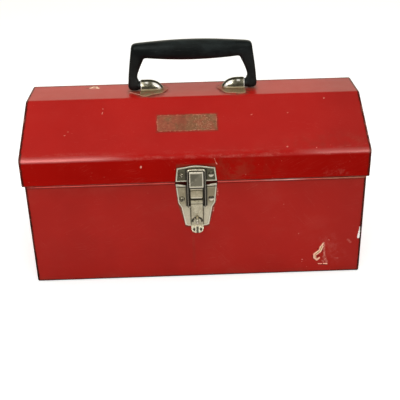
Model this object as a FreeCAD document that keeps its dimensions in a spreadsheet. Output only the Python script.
import FreeCAD, Part
import math
import os

import Sketcher
from FreeCAD import Placement, Rotation, Vector

# Hip-roof steel tool box with a piano hinge, a bail latch and a carrying handle.
# Millimetres, +Z up, front faces -Y, right hand is +X. The origin is the centre
# of the footprint, on the surface the box stands on.

# ---------------------------------------------------------- driving dimensions
# "_half" is half a width about x = 0. "_across" is a distance along Y from y = 0, and
# "_up" a height above z = 0; the latch's "_across" distances are measured forwards.
SIZES = dict(
    # body
    body_width=351.0, body_depth=185.0, rim_height=126.0, sheet_gauge=0.8,
    bottom_bend=2.5, end_bend=2.0, end_flange=12.0, end_margin=1.6,
    hem_depth=6.0, wrapper_hem_gap=4.0, end_hem_gap=8.0,
    bead_height=114.05, bead_half=0.85, bead_proud=0.7, bead_gap=2.5,
    # lid
    lid_width=356.0, lid_front=95.0, lid_back=97.25, seam_height=116.0,
    eave_height=145.2, ridge_height=182.5, ridge_front=23.0,
    eave_bend=6.0, ridge_bend=4.6, lid_hem_depth=5.0, lid_hem_gap=3.0,
    # piano hinge
    hinge_across=94.45, hinge_up=116.4, knuckle_radius=1.85, hinge_pin_radius=1.0,
    knuckle_pitch=15.0, knuckle_gap=0.3, knuckle_count=11,
    leaf_gauge=0.8, body_leaf_reach=18.4, lid_leaf_reach=17.0, leaf_notch=2.2,
    # latch keeper, from its lower corners to its crown
    keeper_low=117.0, keeper_low_half=21.0, keeper_high=131.8, keeper_high_half=19.4,
    keeper_shoulder=133.1, keeper_shoulder_half=10.4, keeper_arch=134.0, keeper_crown=134.4,
    keeper_thickness=1.5, keeper_sunk=0.8, plate_rim=1.2,
    hook_half=7.1, hook_low=111.7, hook_high=129.2, hook_reach=5.3, hook_edge=0.5,
    hook_frame=0.9, hook_frame_top=1.44, hook_sunk=0.4,
    # latch base plate, from its toe to the dip in its top edge
    base_toe=64.3, base_toe_half=9.0, base_low=65.5, base_low_half=12.3,
    base_neck=86.1, base_neck_half=16.0, base_waist=91.2, base_waist_half=19.0,
    base_corner=113.0, base_corner_half=21.1, base_slope=112.6, base_slope_half=17.0,
    base_dip=111.5, base_dip_half=12.0, base_thickness=1.4, base_sunk=0.6,
    bridge_half=6.6, bridge_low=97.6, bridge_high=109.0, bridge_reach=4.5,
    bridge_corner=1.6, groove_margin=1.0, groove_bottom=2.6, groove_top=1.7, groove_sunk=0.5,
    ear_low=91.6, ear_half=7.3, ear_inner=6.6, ear_reach=4.7, ear_bend=2.0,
    # latch staple
    staple_half=0.9, staple_up=74.0, staple_across=101.4, staple_radius=4.0, staple_eye=2.5,
    # latch lever and its pin
    pivot_across=96.2, pivot_up=94.6, pin_radius=0.9, ear_clearance=0.02, bore_clearance=0.05,
    lever_half=6.4, lever_gauge=1.0, lever_wall=0.8, barrel_radius=2.3,
    lever_bend=67.5, tab_out=4.7, tab_down=6.9, tab_round=5.2,
    wall_high=92.0, wall_back_low=76.0, wall_front_low=71.0, wall_gap=0.8,
    slot_low=69.0, slot_high=78.4, slot_half=1.5, slot_chamfer_across=0.6,
    slot_chamfer_down=0.4,
    # latch bail
    bail_drop=7.0, wire_radius=1.0, foot_clearance=0.06, bail_half=8.9, bail_foot=5.2,
    bail_height=42.96, bail_foot_bend=1.6, bail_top_bend=2.6, bail_lean=3.07,
    # rivets
    rivet_side=15.2, keeper_rivet_up=124.0, base_rivet_up=95.5, rivet_shank=1.5,
    rivet_head=3.0, rivet_dome=1.7, rivet_tail=2.5, rivet_tail_height=0.7,
    # handle and its brackets
    trunnion_up=188.3, trunnion_radius=4.72, trunnion_inner=46.0, trunnion_outer=60.0,
    leg_half_depth=4.8, grip_half_depth=7.5, foot_radius=5.45, foot_cut=8.0,
    hood_radius=5.7, hood_outer=56.3, hood_dome=39.2, bracket_gauge=0.9,
)

# How far cutting shapes run past the metal.
PAST = 1.0
FAR_PAST = 5.0
INSIDE_DROP = 20.0  # the lid's inner block reaches this far below the seam

# Upper half of the bead's outline: fraction of its proud height, fraction of its half width.
BEAD_CURVE = [(0, 1), (0.65, 0.8), (1, 0.3)]

# Rivet head outline: fraction of the head radius, fraction of the dome height.
RIVET_CURVE = [(1, 0), (0.93, 0.38), (0.72, 0.70), (0.4, 0.93), (0, 1)]

# Right half of the handle seen from the front: x, z.
# The outer side runs from the foot up to the middle.
HANDLE_OUTER = [
    (58.0, 183.0), (65.8, 183.0), (68.6, 184.6), (70.0, 187.4), (69.6, 193.0), (67.3, 207.7),
    (62.6, 230.6), (61.6, 233.2), (59.0, 234.5), (42.0, 236.1), (21.0, 237.4), (0.0, 237.8),
]
# The inner side runs from the middle down to the foot.
HANDLE_INNER = [
    (0.0, 215.9), (20.0, 216.3), (38.0, 217.5), (47.5, 218.6), (50.2, 217.6),
    (51.4, 214.6), (59.2, 197.6), (59.2, 195.4), (57.6, 192.6), (57.6, 183.0),
]
# The thick grip shares the handle's top and underside between the legs.
GRIP_OUTER = [(57.2, 219.5), (63.6, 226.0)] + HANDLE_OUTER[6:]
GRIP_INNER = HANDLE_INNER[:4]

# Bracket flange from its inner to its outer end: x, half depth about the handle's middle.
FLANGE_OUTLINE = [
    (26.7, 0.0), (30.0, 4.6), (34.0, 9.4), (38.0, 13.4), (42.0, 16.4),
    (45.0, 19.6), (48.5, 20.9), (52.0, 20.6), (55.2, 18.4), (57.0, 14.5),
]


class Size:
    """A number kept together with the sheet expression that gives it."""

    def __init__(self, value, text):
        self.value, self.text = float(value), text

    def __add__(self, other):
        other = size(other)
        return Size(self.value + other.value, f"({self.text} + {other.text})")

    def __sub__(self, other):
        other = size(other)
        return Size(self.value - other.value, f"({self.text} - {other.text})")

    def __mul__(self, other):
        other = size(other)
        return Size(self.value * other.value, f"({self.text} * {other.text})")

    def __truediv__(self, other):
        other = size(other)
        return Size(self.value / other.value, f"({self.text} / {other.text})")

    def __neg__(self):
        return size(0) - self


def size(number):
    if isinstance(number, Size):
        return number
    return Size(number, f"({float(number):.6f})")


def root(number):
    return Size(math.sqrt(number.value), f"sqrt({number.text})")


class Dimensions:
    """Every driving dimension as a Size, found by its alias."""


doc = FreeCAD.newDocument("ToolBox")
sheet = doc.addObject("Spreadsheet::Sheet", "Sizes")
dim = Dimensions()
for row, (alias, number) in enumerate(SIZES.items(), start=1):
    sheet.set(f"A{row}", alias)
    sheet.set(f"B{row}", repr(float(number)))
    sheet.setAlias(f"B{row}", alias)
    setattr(dim, alias, Size(number, f"Sizes.{alias}"))
doc.recompute()

# Places that several pieces share.
gauge = dim.sheet_gauge
half_depth = dim.body_depth / 2
hem_low = dim.rim_height - dim.hem_depth
hinge_length = dim.knuckle_pitch * dim.knuckle_count * 2
keeper_metal = dim.keeper_thickness - dim.keeper_sunk
keeper_face = dim.lid_front + keeper_metal
base_metal = dim.base_thickness - dim.base_sunk
base_face = half_depth + base_metal
lever_face = dim.pivot_across + dim.barrel_radius
foot_up = dim.pivot_up - dim.bail_drop
handle_across = (dim.lid_back - dim.lid_front) / 2


# -------------------------------------------------------------------- sketches
def body(label):
    return doc.addObject("PartDesign::Body", label)


def plane(owner, role):
    return next(f for f in owner.Origin.OriginFeatures if f.Role == role)


def sketch(owner, name, role, shift=None):
    """A sketch on one of the body's own planes, moved along the plane's normal.

    YZ_Plane moves towards +X and XZ_Plane towards -Y, the front.
    """
    made = owner.newObject("Sketcher::SketchObject", name)
    made.AttachmentSupport = [(plane(owner, role), "")]
    made.MapMode = "FlatFace"
    if shift is not None:
        made.AttachmentOffset = Placement(Vector(0, 0, shift.value), Rotation())
        made.setExpression("AttachmentOffset.Base.z", shift.text)
    return made


def pin_point(made, geometry, point, across, up):
    """Fix one point of a sketch by its two sheet-driven distances from the origin."""
    for kind, number in (("DistanceX", size(across)), ("DistanceY", size(up))):
        constraint = Sketcher.Constraint(kind, -1, 1, geometry, point, number.value)
        index = made.addConstraint(constraint)
        name = f"{kind[-1].lower()}{geometry}_{point}"
        made.renameConstraint(index, name)
        made.setExpression(f"Constraints.{name}", number.text)


def set_radius(made, geometry, radius):
    index = made.addConstraint(Sketcher.Constraint("Radius", geometry, radius.value))
    made.renameConstraint(index, f"r{geometry}")
    made.setExpression(f"Constraints.r{geometry}", radius.text)


def line(made, start, end):
    start, end = (Vector(size(a).value, size(b).value, 0) for a, b in (start, end))
    return made.addGeometry(Part.LineSegment(start, end), False)


def polygon(made, points):
    first = made.GeometryCount
    count = len(points)
    for i in range(count):
        line(made, points[i], points[(i + 1) % count])
    for i in range(count):
        after = first + (i + 1) % count
        made.addConstraint(Sketcher.Constraint("Coincident", first + i, 2, after, 1))
    for i in range(count):
        pin_point(made, first + i, 1, *points[i])


def rectangle(made, x0, x1, y0, y1):
    polygon(made, [(x0, y0), (x1, y0), (x1, y1), (x0, y1)])


def circle(made, across, up, radius):
    across, up = size(across), size(up)
    ring = Part.Circle(Vector(across.value, up.value, 0), Vector(0, 0, 1), radius.value)
    index = made.addGeometry(ring, False)
    pin_point(made, index, 3, across, up)
    set_radius(made, index, radius)


def opposite(points):
    """The points mirrored to the other side of the middle, in reverse order."""
    return [(-across, up) for across, up in reversed(points)]


def both_sides(half):
    """A closed outline from its right-hand half, listed from one end to the other."""
    return half + opposite([point for point in half if abs(size(point[0]).value) > 1e-9])


def bow(outer, inner):
    """A closed bow from its right half: outer ends in the middle, inner starts there."""
    return outer + opposite(outer[:-1]) + opposite(inner[1:]) + inner


def arc_points(across, up, radius, degrees):
    points = []
    for angle in map(math.radians, degrees):
        points.append((across + radius * round(math.cos(angle), 6),
                       up + radius * round(math.sin(angle), 6)))
    return points


# -------------------------------------------------------------------- features
def bind(thing, prop, number):
    """Give a property its value and the expression that drives it."""
    number = size(number)
    setattr(thing, prop, number.value)
    thing.setExpression(prop, number.text)


def pad(owner, name, profile, length, symmetric=False, reverse=False):
    made = owner.newObject("PartDesign::Pad", name)
    made.Profile = profile
    bind(made, "Length", length)
    if symmetric:
        made.SideType = "Symmetric"
    made.Reversed = reverse
    doc.recompute()
    return made


def pocket(owner, name, profile, length=None, symmetric=False, reverse=False):
    """A cut of this depth, or right through when no depth is given."""
    made = owner.newObject("PartDesign::Pocket", name)
    made.Profile = profile
    if length is None:
        made.Type = "ThroughAll"
    else:
        bind(made, "Length", length)
    if symmetric:
        made.SideType = "Symmetric"
    made.Reversed = reverse
    doc.recompute()
    if not made.Shape.Volume < made.BaseFeature.Shape.Volume - 1e-4:
        raise RuntimeError(f"{name} cut nothing")
    return made


def fillet(owner, name, feature, test, radius):
    chosen = [f"Edge{i}" for i, e in enumerate(feature.Shape.Edges, start=1) if test(e)]
    if not chosen:
        raise RuntimeError(f"{name} found no edge")
    made = owner.newObject("PartDesign::Fillet", name)
    made.Base = (feature, chosen)
    bind(made, "Radius", radius)
    doc.recompute()
    return made


def near(a, b, tolerance=1e-3):
    return abs(a - b) < tolerance


def along_x(edge):
    box = edge.BoundBox
    return box.YLength < 1e-3 and box.ZLength < 1e-3 and box.XLength > 1e-3


def at_side(edge, half_width):
    """Whether the edge lies in the plane x = half_width or x = -half_width."""
    box = edge.BoundBox
    return near(abs(box.Center.x), half_width.value) and box.XLength < 1e-3


def bore(owner, name, across, up, radius):
    """A round hole along X, right through."""
    outline = sketch(owner, name + "_outline", "YZ_Plane")
    circle(outline, across, up, radius)
    pocket(owner, name, outline, symmetric=True)


def rivet_holes(owner, prefix, face, up, metal):
    """Two rivet holes from the front, through metal whose front face is at y = -face."""
    holes = sketch(owner, prefix + "_rivet_holes", "XZ_Plane", face + PAST)
    for side in (-1, 1):
        circle(holes, dim.rivet_side * side, up, dim.rivet_shank + dim.bore_clearance)
    pocket(owner, prefix + "_rivet_drilling", holes, metal + PAST * 2)


def primitive(kind, name, base, rotation=Rotation(), **sizes):
    """A Part primitive whose sizes and position come from the sheet."""
    made = doc.addObject(kind, name)
    for prop, number in sizes.items():
        bind(made, prop, number)
    base = [size(number) for number in base]
    made.Placement = Placement(Vector(*[number.value for number in base]), rotation)
    for axis, number in zip("xyz", base):
        made.setExpression(f"Placement.Base.{axis}", number.text)
    return made


ALONG_X = Rotation(Vector(0, 1, 0), 90)


# ------------------------------------------------------------------------ body
def body_wrapper():
    """Front, bottom and back as one bent sheet whose ends turn in as a flange."""
    wrapper = body("body_wrapper")
    rim = dim.rim_height
    section = sketch(wrapper, "wrapper_section", "YZ_Plane")
    rectangle(section, -half_depth, half_depth, 0, rim)
    block = pad(wrapper, "wrapper_block", section, dim.body_width, symmetric=True)
    bent = fillet(wrapper, "wrapper_bottom_bends", block,
                  lambda e: along_x(e) and near(e.BoundBox.ZMax, 0), dim.bottom_bend)
    rounded = fillet(wrapper, "wrapper_end_bends", bent,
                     lambda e: at_side(e, dim.body_width / 2)
                     and e.BoundBox.ZMin < rim.value - 1e-3, dim.end_bend)

    # The block becomes sheet, open at the top, with the sheet inside its outline.
    shell = wrapper.newObject("PartDesign::Thickness", "wrapper_sheet")
    shell.Base = (rounded, [f"Face{i}" for i, f in enumerate(rounded.Shape.Faces, start=1)
                            if near(f.BoundBox.ZMin, rim.value)])
    bind(shell, "Value", gauge)
    shell.Reversed = True
    shell.Join = "Intersection"
    doc.recompute()

    window = sketch(wrapper, "wrapper_window", "YZ_Plane")
    window_half = half_depth - gauge - dim.end_flange
    rectangle(window, -window_half, window_half, gauge + dim.end_flange, rim + FAR_PAST)
    pocket(wrapper, "wrapper_end_windows", window, symmetric=True)

    # The top edges of front and back are folded inwards once.
    hem = sketch(wrapper, "wrapper_hem", "YZ_Plane")
    for side in (-1, 1):
        rectangle(hem, (half_depth - gauge) * side, (half_depth - gauge * 2) * side,
                  hem_low, rim)
    pad(wrapper, "wrapper_hems", hem, dim.body_width - dim.wrapper_hem_gap * 2, symmetric=True)

    # A shallow bead runs along the front, just under the lid's edge.
    bead = sketch(wrapper, "wrapper_bead_section", "YZ_Plane")
    middle, half, proud = dim.bead_height, dim.bead_half, dim.bead_proud
    root_y = -half_depth + gauge / 2
    polygon(bead, [(root_y, middle - half), (root_y, middle + half)]
            + [(-half_depth - proud * out, middle + half * rise) for out, rise in BEAD_CURVE]
            + [(-half_depth - proud * out, middle - half * rise)
               for out, rise in reversed(BEAD_CURVE)])
    pad(wrapper, "wrapper_bead", bead, dim.body_width - dim.bead_gap * 2, symmetric=True)
    rivet_holes(wrapper, "wrapper", half_depth, dim.base_rivet_up, gauge)


def body_end(label, side):
    """A flat end panel inside the wrapper's flange; side is 1 on the right, -1 on the left."""
    panel = body(label)
    outer = (dim.body_width / 2 - gauge) * side
    edge = half_depth - gauge - dim.end_margin
    outline = sketch(panel, label + "_outline", "YZ_Plane", outer)
    rectangle(outline, -edge, edge, gauge + dim.end_margin, dim.rim_height)
    pad(panel, label + "_sheet", outline, gauge, reverse=side > 0)
    # The upper edge is folded inwards, like the wrapper's.
    hem = sketch(panel, label + "_hem_outline", "YZ_Plane", outer - gauge * side)
    hem_half = edge - dim.end_hem_gap
    rectangle(hem, -hem_half, hem_half, hem_low, dim.rim_height)
    pad(panel, label + "_hem", hem, gauge, reverse=side > 0)


# ------------------------------------------------------------------------- lid
slope = (dim.ridge_height - dim.eave_height) / (dim.lid_front - dim.ridge_front)
slope_length = root(size(1) + slope * slope)


def roof(inset, low):
    """The lid's section from front to back, moved inwards on every side but the bottom."""
    inset = size(inset)
    eave = dim.eave_height + inset * slope - inset * slope_length
    top = dim.ridge_height - inset
    run = (top - dim.eave_height + inset * slope_length) / slope
    return [
        (-dim.lid_front + inset, low), (-dim.lid_front + inset, eave),
        (-dim.lid_front + run, top), (dim.lid_back - run, top),
        (dim.lid_back - inset, eave), (dim.lid_back - inset, low),
    ]


def roof_block(owner, name, inset, low, width):
    """A solid with the lid's outline, its bends rounded; inset gives the inner side."""
    points = roof(inset, low)
    eave, top = points[1][1].value, points[2][1].value
    section = sketch(owner, name + "_section", "YZ_Plane")
    polygon(section, points)
    block = pad(owner, name + "_block", section, width, symmetric=True)
    eaves = fillet(owner, name + "_eave_bends", block,
                   lambda e: along_x(e) and near(e.BoundBox.ZMax, eave),
                   dim.eave_bend - inset)
    ridges = fillet(owner, name + "_ridge_bends", eaves,
                    lambda e: along_x(e) and near(e.BoundBox.ZMax, top),
                    dim.ridge_bend - inset)
    fillet(owner, name + "_end_bends", ridges,
           lambda e: at_side(e, width / 2) and e.BoundBox.ZMax > low.value + 1e-3,
           dim.end_bend - inset)


def lid_cover():
    """Front band, front slope, flat top, back slope and back band as one bent sheet."""
    cover = body("lid_cover")
    roof_block(cover, "cover", 0, dim.seam_height, dim.lid_width)
    inside = body("cover_inside")
    roof_block(inside, "cover_inside", gauge, dim.seam_height - INSIDE_DROP,
               dim.lid_width - gauge * 2)
    shell = cover.newObject("PartDesign::Boolean", "cover_sheet")
    shell.setObjects([inside])
    shell.Type = "Cut"
    cover.Tip = shell
    doc.recompute()
    window = sketch(cover, "cover_window", "YZ_Plane")
    polygon(window, roof(gauge + dim.end_flange, dim.seam_height - FAR_PAST))
    pocket(cover, "cover_end_windows", window, symmetric=True)
    # The front lower edge is folded inwards once.
    hem = sketch(cover, "cover_hem", "YZ_Plane")
    rectangle(hem, -dim.lid_front + gauge, -dim.lid_front + gauge * 2,
              dim.seam_height, dim.seam_height + dim.lid_hem_depth)
    pad(cover, "cover_front_hem", hem, dim.lid_width - dim.lid_hem_gap * 2, symmetric=True)
    rivet_holes(cover, "cover", dim.lid_front, dim.keeper_rivet_up, gauge)


def lid_end(label, side):
    """A flat end panel inside the cover's flange; side is 1 on the right, -1 on the left."""
    panel = body(label)
    outline = sketch(panel, label + "_outline", "YZ_Plane", (dim.lid_width / 2 - gauge) * side)
    polygon(outline, roof(gauge + dim.end_margin, dim.seam_height))
    pad(panel, label + "_sheet", outline, gauge, reverse=side > 0)


# ----------------------------------------------------------------- piano hinge
def every_other(owner, name, feature):
    """Repeat a feature along the hinge at every second knuckle place."""
    made = owner.newObject("PartDesign::LinearPattern", name)
    made.Originals = [feature]
    made.Direction = (plane(owner, "X_Axis"), [""])
    made.Mode = "Spacing"
    bind(made, "Offset", dim.knuckle_pitch * 2)
    made.Occurrences = SIZES["knuckle_count"]
    made.setExpression("Occurrences", dim.knuckle_count.text)
    owner.Tip = made
    doc.recompute()


def hinge_leaf(label, first, inner, reach, way):
    """A flat strip, notched opposite the other leaf's knuckles, with its own knuckles.

    first is the place of its first knuckle, 0 or 1 from the left; inner is the strip's
    inner face; way is 1 for a strip above the hinge line and -1 for one below it.
    """
    strip = body(label)
    pitch, up = dim.knuckle_pitch, dim.hinge_up
    outer = inner + dim.leaf_gauge
    start = -hinge_length / 2
    section = sketch(strip, label + "_section", "YZ_Plane")
    rectangle(section, inner, outer, up, up + reach * way)
    pad(strip, label + "_strip", section, hinge_length, symmetric=True)

    outline = sketch(strip, label + "_notch_outline", "YZ_Plane", start + pitch * (1 - first))
    rectangle(outline, inner - PAST, outer + PAST, up - PAST * way, up + dim.leaf_notch * way)
    notch = pocket(strip, label + "_notch", outline, pitch, reverse=True)
    every_other(strip, label + "_notches", notch)

    outline = sketch(strip, label + "_knuckle_outline", "YZ_Plane",
                     start + pitch * first + dim.knuckle_gap / 2)
    circle(outline, dim.hinge_across, up, dim.knuckle_radius)
    knuckle = pad(strip, label + "_knuckle", outline, pitch - dim.knuckle_gap)
    every_other(strip, label + "_knuckles", knuckle)
    bore(strip, label + "_bore", dim.hinge_across, up,
         dim.hinge_pin_radius + dim.bore_clearance)


def hinge_pin():
    primitive("Part::Cylinder", "hinge_pin",
              (-hinge_length / 2, dim.hinge_across, dim.hinge_up), ALONG_X,
              Radius=dim.hinge_pin_radius, Height=hinge_length)


# ----------------------------------------------------------------------- latch
def keeper_outline(rim):
    """The keeper's outline, moved inwards by rim; the slanted low corners move further."""
    return both_sides([
        (dim.keeper_low_half - rim * 1.15, dim.keeper_low + rim),
        (dim.keeper_high_half - rim, dim.keeper_high - rim),
        (dim.keeper_shoulder_half, dim.keeper_shoulder - rim),
        (dim.keeper_shoulder_half / 2, dim.keeper_arch - rim),
        (0, dim.keeper_crown - rim),
    ])


def latch_keeper():
    """Pressed plate with a raised border, and a hook block that the bail closes round."""
    keeper = body("latch_keeper")
    outline = sketch(keeper, "keeper_outline", "XZ_Plane", dim.lid_front)
    polygon(outline, keeper_outline(size(0)))
    pad(keeper, "keeper_plate", outline, dim.keeper_thickness)
    field = sketch(keeper, "keeper_field", "XZ_Plane", dim.lid_front + dim.keeper_thickness)
    polygon(field, keeper_outline(dim.plate_rim))
    pocket(keeper, "keeper_pressing", field, dim.keeper_sunk)

    half, low, high = dim.hook_half, dim.hook_low, dim.hook_high
    front = keeper_face + dim.hook_reach
    outline = sketch(keeper, "hook_outline", "XZ_Plane", keeper_face)
    rectangle(outline, -half, half, low, high)
    hook = pad(keeper, "hook_block", outline, dim.hook_reach)
    fillet(keeper, "hook_edges", hook,
           lambda e: near(e.BoundBox.YMax, -front.value, 1e-2) and e.BoundBox.YLength < 1e-3,
           dim.hook_edge)
    field = sketch(keeper, "hook_field", "XZ_Plane", front)
    field_half = half - dim.hook_frame
    rectangle(field, -field_half, field_half, low + dim.hook_frame, high - dim.hook_frame_top)
    pocket(keeper, "hook_pressing", field, dim.hook_sunk)
    rivet_holes(keeper, "keeper", keeper_face, dim.keeper_rivet_up, keeper_metal)


def latch_base_plate():
    """Pressed plate with a raised border, two ears for the lever's pin and a bridge."""
    base = body("latch_base_plate")
    rim = dim.plate_rim
    # Right half from the toe up: half width, height, and how far the sunk field's
    # corner is moved in width and in height.
    corners = [
        (dim.base_toe_half, dim.base_toe, size(-0.5), rim),
        (dim.base_low_half, dim.base_low, -rim, rim * 0.8),
        (dim.base_neck_half, dim.base_neck, -rim, size(0.3)),
        (dim.base_waist_half, dim.base_waist, -rim, size(0.3)),
        (dim.base_corner_half, dim.base_corner, -rim * 1.1, -rim),
        (dim.base_slope_half, dim.base_slope, size(0), -rim),
        (dim.base_dip_half, dim.base_dip, size(0), -rim),
    ]
    outline = sketch(base, "base_outline", "XZ_Plane", half_depth)
    polygon(outline, both_sides([(half, up) for half, up, _, _ in corners]))
    pad(base, "base_sheet", outline, dim.base_thickness)
    field = sketch(base, "base_field", "XZ_Plane", half_depth + dim.base_thickness)
    polygon(field, both_sides([(half + shift, up + rise) for half, up, shift, rise in corners]))
    pocket(base, "base_pressing", field, dim.base_sunk)

    # One block is rounded and then split into the two ears.
    ear_front = base_face + dim.ear_reach
    section = sketch(base, "ear_section", "YZ_Plane")
    rectangle(section, -ear_front, -base_face, dim.ear_low, dim.bridge_low)
    ears = pad(base, "ear_block", section, dim.ear_half * 2, symmetric=True)
    fillet(base, "ear_rounding", ears,
           lambda e: along_x(e) and near(e.BoundBox.YMin, -ear_front.value)
           and near(e.BoundBox.ZMin, dim.ear_low.value), dim.ear_bend)
    gap = sketch(base, "ear_gap_section", "YZ_Plane")
    rectangle(gap, -(ear_front + PAST), -base_face, dim.ear_low - PAST, dim.bridge_low)
    pocket(base, "ear_gap", gap, dim.ear_inner * 2, symmetric=True)

    # A raised bridge with a level groove near its top stands above the ears.
    half, low, high = dim.bridge_half, dim.bridge_low, dim.bridge_high
    outline = sketch(base, "bridge_outline", "XZ_Plane", base_face)
    polygon(outline, both_sides([
        (half - dim.bridge_corner, low), (half, low + dim.bridge_corner), (half, high),
    ]))
    pad(base, "bridge_block", outline, dim.bridge_reach)
    groove = sketch(base, "bridge_groove_outline", "XZ_Plane", base_face + dim.bridge_reach)
    groove_half = half - dim.groove_margin
    rectangle(groove, -groove_half, groove_half, high - dim.groove_bottom, high - dim.groove_top)
    pocket(base, "bridge_groove", groove, dim.groove_sunk)

    bore(base, "base_pin_bore", -dim.pivot_across, dim.pivot_up,
         dim.pin_radius + dim.ear_clearance)
    rivet_holes(base, "base", base_face, dim.base_rivet_up, base_metal)


def latch_staple():
    """A flat eye that stands out through the lever's slot, for a padlock's shackle."""
    staple = body("latch_staple")
    middle, eye_y, radius = dim.staple_up, -dim.staple_across, dim.staple_radius
    section = sketch(staple, "staple_section", "YZ_Plane")
    polygon(section, [(-base_face, middle - radius), (-base_face, middle + radius)]
            + arc_points(eye_y, middle, radius, [90 + 22.5 * step for step in range(9)]))
    pad(staple, "staple_blank", section, dim.staple_half * 2, symmetric=True)
    eye = sketch(staple, "staple_eye_outline", "YZ_Plane")
    circle(eye, eye_y, middle, dim.staple_eye)
    pocket(staple, "staple_hole", eye, symmetric=True)


def latch_lever():
    """A front strip with an outturned tab, two side walls and a barrel round the pin."""
    lever = body("latch_lever")
    thick, bend, width = dim.lever_gauge, dim.lever_bend, dim.lever_half * 2
    pivot_y, pivot_z = -dim.pivot_across, dim.pivot_up
    strip_back = -lever_face + thick

    # The tab's back lies one sheet thickness away, square to its front.
    tab_length = root(dim.tab_out * dim.tab_out + dim.tab_down * dim.tab_down)
    away_y = dim.tab_down / tab_length * thick
    away_z = dim.tab_out / tab_length * thick
    tip_y, tip_z = -(lever_face + dim.tab_out), bend - dim.tab_down
    inner_bend = bend - away_z + (thick - away_y) / dim.tab_out * dim.tab_down
    section = sketch(lever, "lever_section", "YZ_Plane")
    polygon(section, [
        (-lever_face, pivot_z), (-lever_face, bend), (tip_y, tip_z),
        (tip_y + away_y, tip_z - away_z), (strip_back, inner_bend), (strip_back, pivot_z),
    ])
    strip = pad(lever, "lever_strip", section, width, symmetric=True)
    # The short edges across the sheet at the tab's tip.
    fillet(lever, "lever_tab_round", strip,
           lambda e: at_side(e, dim.lever_half) and e.BoundBox.ZMax < tip_z.value + 0.5
           and e.Length < thick.value * 1.5, dim.tab_round)

    # A full-width block is channelled to leave the side walls.
    wall_back = -(base_face + dim.wall_gap)
    walls = sketch(lever, "lever_wall_section", "YZ_Plane")
    polygon(walls, [
        (strip_back, dim.wall_high), (wall_back, dim.wall_high),
        (wall_back, dim.wall_back_low), (strip_back, dim.wall_front_low),
    ])
    pad(lever, "lever_walls_block", walls, width, symmetric=True)
    channel = sketch(lever, "lever_channel_section", "YZ_Plane")
    rectangle(channel, strip_back, wall_back + PAST, dim.wall_front_low - PAST, dim.wall_high)
    pocket(lever, "lever_channel", channel, (dim.lever_half - dim.lever_wall) * 2,
           symmetric=True)

    barrel = sketch(lever, "lever_barrel_section", "YZ_Plane")
    circle(barrel, pivot_y, pivot_z, dim.barrel_radius)
    pad(lever, "lever_barrel", barrel, width, symmetric=True)
    bore(lever, "lever_pin_bore", pivot_y, pivot_z, dim.pin_radius + dim.bore_clearance)
    bore(lever, "lever_foot_bore", pivot_y, foot_up, dim.wire_radius + dim.foot_clearance)

    slot = sketch(lever, "lever_slot_outline", "XZ_Plane", lever_face + PAST)
    polygon(slot, both_sides([
        (dim.slot_half, dim.slot_low),
        (dim.slot_half, dim.slot_high - dim.slot_chamfer_down),
        (dim.slot_half - dim.slot_chamfer_across, dim.slot_high),
    ]))
    pocket(lever, "lever_slot", slot, thick + PAST * 2)


def latch_lever_pin():
    primitive("Part::Cylinder", "latch_lever_pin",
              (-dim.ear_half, -dim.pivot_across, dim.pivot_up), ALONG_X,
              Radius=dim.pin_radius, Height=dim.ear_half * 2)


def latch_bail():
    """Round wire, drawn upright from its feet, then leaned forwards by its placement."""
    bail = body("latch_bail")
    path = sketch(bail, "bail_path", "XZ_Plane")
    wide, high, foot = dim.bail_half, dim.bail_height, dim.bail_foot
    foot_bend, top_bend = dim.bail_foot_bend, dim.bail_top_bend
    foot_x, top_x, top_z = wide - foot_bend, wide - top_bend, high - top_bend
    # Straight runs from the left foot, over the top, to the right foot.
    runs = [
        ((-foot, 0), (-foot_x, 0)),
        ((-wide, foot_bend), (-wide, top_z)),
        ((-top_x, high), (top_x, high)),
        ((wide, top_z), (wide, foot_bend)),
        ((foot_x, 0), (foot, 0)),
    ]
    # The quarter bend after each run: centre x and z, radius, start angle in degrees.
    bends = [
        (-foot_x, foot_bend, foot_bend, 180),
        (-top_x, top_z, top_bend, 90),
        (top_x, top_z, top_bend, 0),
        (foot_x, foot_bend, foot_bend, 270),
    ]
    for start, end in runs:
        line(path, start, end)
    for x, z, radius, angle in bends:
        ring = Part.Circle(Vector(x.value, z.value, 0), Vector(0, 0, 1), radius.value)
        arc = Part.ArcOfCircle(ring, math.radians(angle), math.radians(angle + 90))
        path.addGeometry(arc, False)
    # Arcs run anticlockwise and the path clockwise, so an arc's end meets the run before it.
    for i in range(len(bends)):
        arc = len(runs) + i
        path.addConstraint(Sketcher.Constraint("Coincident", arc, 2, i, 2))
        path.addConstraint(Sketcher.Constraint("Coincident", arc, 1, i + 1, 1))
    for i, (start, end) in enumerate(runs):
        pin_point(path, i, 1, *start)
        pin_point(path, i, 2, *end)
    for i, (_, _, radius, _) in enumerate(bends):
        set_radius(path, len(runs) + i, radius)

    wire = sketch(bail, "bail_wire", "YZ_Plane", -foot)
    circle(wire, 0, 0, dim.wire_radius)
    pipe = bail.newObject("PartDesign::AdditivePipe", "bail_sweep")
    pipe.Profile = wire
    pipe.Spine = (path, [f"Edge{i + 1}" for i in range(len(runs) + len(bends))])
    doc.recompute()
    foot_y = -dim.pivot_across
    bail.Placement = Placement(Vector(0, foot_y.value, foot_up.value),
                               Rotation(Vector(1, 0, 0), dim.bail_lean.value))
    bail.setExpression("Placement.Base.y", foot_y.text)
    bail.setExpression("Placement.Base.z", foot_up.text)
    bail.setExpression("Placement.Rotation.Angle", dim.bail_lean.text)


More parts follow.
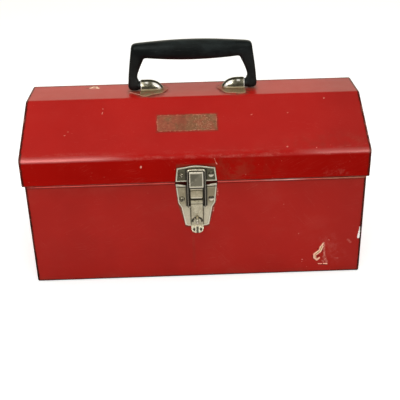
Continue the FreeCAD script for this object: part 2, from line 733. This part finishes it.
# ---------------------------------------------------------------------- rivets
def rivets(label, height, head_at, tail_at):
    """A pair of domed rivets: a revolved blank on the right and its mirror image.

    The head sits on the plane y = -head_at and the tail on y = -tail_at.
    """
    blank = body(label + "_blank")
    side, shank, tail = dim.rivet_side, dim.rivet_shank, dim.rivet_tail
    tail_end = tail_at - dim.rivet_tail_height
    section = sketch(blank, label + "_section", "XY_Plane")
    polygon(section, [
        (side, -tail_end), (side + tail, -tail_end), (side + tail, -tail_at),
        (side + shank, -tail_at), (side + shank, -head_at),
    ] + [(side + dim.rivet_head * out, -(head_at + dim.rivet_dome * rise))
         for out, rise in RIVET_CURVE])
    axis = sketch(blank, label + "_axis", "XY_Plane")
    ends = (side, 0), (side, -10)
    line(axis, *ends)
    for point, end in enumerate(ends, start=1):
        pin_point(axis, 0, point, *end)
    turned = blank.newObject("PartDesign::Revolution", label + "_turned")
    turned.Profile = section
    turned.ReferenceAxis = (axis, ["Edge1"])
    turned.Angle = 360
    blank.Placement = Placement(Vector(0, 0, height.value), Rotation())
    blank.setExpression("Placement.Base.z", height.text)
    doc.recompute()
    twin = doc.addObject("Part::Mirroring", label + "_twin")
    twin.Source = blank
    twin.Normal = Vector(1, 0, 0)
    pair = doc.addObject("Part::Compound", label)
    pair.Links = [blank, twin]


# ---------------------------------------------------------------------- handle
def handle_grip():
    """Moulded grip on two legs, with a round trunnion on each leg for its bracket."""
    grip = body("handle_grip")
    middle, up = handle_across, dim.trunnion_up
    outline = sketch(grip, "handle_outline", "XZ_Plane", -middle)
    polygon(outline, bow(HANDLE_OUTER, HANDLE_INNER))
    pad(grip, "handle_bow", outline, dim.leg_half_depth * 2, symmetric=True)
    outline = sketch(grip, "grip_outline", "XZ_Plane", -middle)
    polygon(outline, bow(GRIP_OUTER, GRIP_INNER))
    pad(grip, "grip_bar", outline, dim.grip_half_depth * 2, symmetric=True)

    # The feet are rounded about the trunnions so that they turn clear of the lid.
    rounding = sketch(grip, "foot_rounding", "YZ_Plane")
    bottom = up - dim.foot_cut
    for side in (-1, 1):
        edge = middle + dim.foot_cut * side
        degrees = [270 + side * step for step in range(90, -1, -15)]
        polygon(rounding, arc_points(middle, up, dim.foot_radius, degrees)
                + [(middle, bottom), (edge, bottom), (edge, up)])
    pocket(grip, "foot_cut", rounding, symmetric=True)

    outline = sketch(grip, "trunnion_outline", "YZ_Plane", dim.trunnion_inner)
    circle(outline, middle, up, dim.trunnion_radius)
    stub = pad(grip, "trunnion", outline, dim.trunnion_outer - dim.trunnion_inner)
    both = grip.newObject("PartDesign::Mirrored", "trunnions")
    both.Originals = [stub]
    both.MirrorPlane = (plane(grip, "YZ_Plane"), [""])
    grip.Tip = both
    doc.recompute()


def fuse(name, shapes):
    made = doc.addObject("Part::MultiFuse", name)
    made.Shapes = shapes
    return made


def hood(name, radius, low, outer_end):
    """A solid hood of this radius: tunnel, domed inner end and straight sides below."""
    start, middle, up = dim.hood_dome, handle_across, dim.trunnion_up
    length = outer_end - start
    return fuse(name, [
        primitive("Part::Cylinder", name + "_tunnel", (start, middle, up), ALONG_X,
                  Radius=radius, Height=length),
        primitive("Part::Sphere", name + "_dome", (start, middle, up), Radius=radius),
        primitive("Part::Box", name + "_sides", (start, middle - radius, low),
                  Length=length, Width=radius * 2, Height=up - low),
        primitive("Part::Cylinder", name + "_post", (start, middle, low),
                  Radius=radius, Height=up - low),
    ])


def handle_brackets():
    """Half-round hoods with a domed inner end, each standing on a flat flange."""
    ridge = dim.ridge_height
    outline = doc.addObject("Sketcher::SketchObject", "flange_outline")
    outline.Placement = Placement(Vector(0, 0, ridge.value), Rotation())
    outline.setExpression("Placement.Base.z", ridge.text)
    polygon(outline, [(x, handle_across + half) for x, half in FLANGE_OUTLINE]
            + [(x, handle_across - half) for x, half in reversed(FLANGE_OUTLINE[1:])])
    flange = doc.addObject("Part::Extrusion", "flange_sheet")
    flange.Base = outline
    flange.DirMode = "Normal"
    flange.Solid = True
    bind(flange, "LengthFwd", dim.bracket_gauge)

    outside = hood("hood_outside", dim.hood_radius, ridge, dim.hood_outer)
    inside = hood("hood_inside", dim.hood_radius - dim.bracket_gauge, ridge - PAST,
                  dim.hood_outer + FAR_PAST)
    right = doc.addObject("Part::Cut", "handle_bracket_right")
    right.Base = fuse("bracket_metal", [outside, flange])
    right.Tool = inside
    doc.recompute()
    left = doc.addObject("Part::Mirroring", "handle_bracket_left")
    left.Source = right
    left.Normal = Vector(1, 0, 0)
    doc.recompute()


# ----------------------------------------------------------------------- build
body_wrapper()
body_end("body_end_left", -1)
body_end("body_end_right", 1)
lid_cover()
lid_end("lid_end_left", -1)
lid_end("lid_end_right", 1)
# The body's leaf lies outside its back, the lid's leaf inside the lid's back band.
hinge_leaf("hinge_leaf_body", 0, half_depth, dim.body_leaf_reach, -1)
hinge_leaf("hinge_leaf_lid", 1, dim.lid_back - gauge - dim.leaf_gauge, dim.lid_leaf_reach, 1)
hinge_pin()
latch_keeper()
latch_base_plate()
latch_staple()
latch_lever()
latch_lever_pin()
latch_bail()
rivets("keeper_rivets", dim.keeper_rivet_up, keeper_face, dim.lid_front - gauge)
rivets("base_plate_rivets", dim.base_rivet_up, base_face, half_depth - gauge)
handle_grip()
handle_brackets()

# ---------------------------------------------------------------------- export
NODES = [
    "body_wrapper", "body_end_left", "body_end_right",
    "lid_cover", "lid_end_left", "lid_end_right",
    "hinge_leaf_body", "hinge_leaf_lid", "hinge_pin",
    "latch_keeper", "latch_base_plate", "latch_staple",
    "latch_lever", "latch_lever_pin", "latch_bail",
    "keeper_rivets", "base_plate_rivets",
    "handle_grip", "handle_bracket_left", "handle_bracket_right",
]
for thing in doc.Objects:
    if {"Invalid", "Error"} & set(thing.State):
        raise RuntimeError(f"{thing.Name} failed: {thing.State}")
shapes = {}
for label in NODES:
    matches = doc.getObjectsByLabel(label)
    if len(matches) != 1:
        raise RuntimeError(f"{label}: {len(matches)} objects have this label")
    shape = matches[0].Shape
    if shape.isNull() or not shape.isValid() or not shape.Solids:
        raise RuntimeError(f"{label} has no valid shape")
    shapes[label] = shape
os.makedirs("parts", exist_ok=True)
for label, shape in shapes.items():
    shape.exportStep(f"parts/{label}.step")
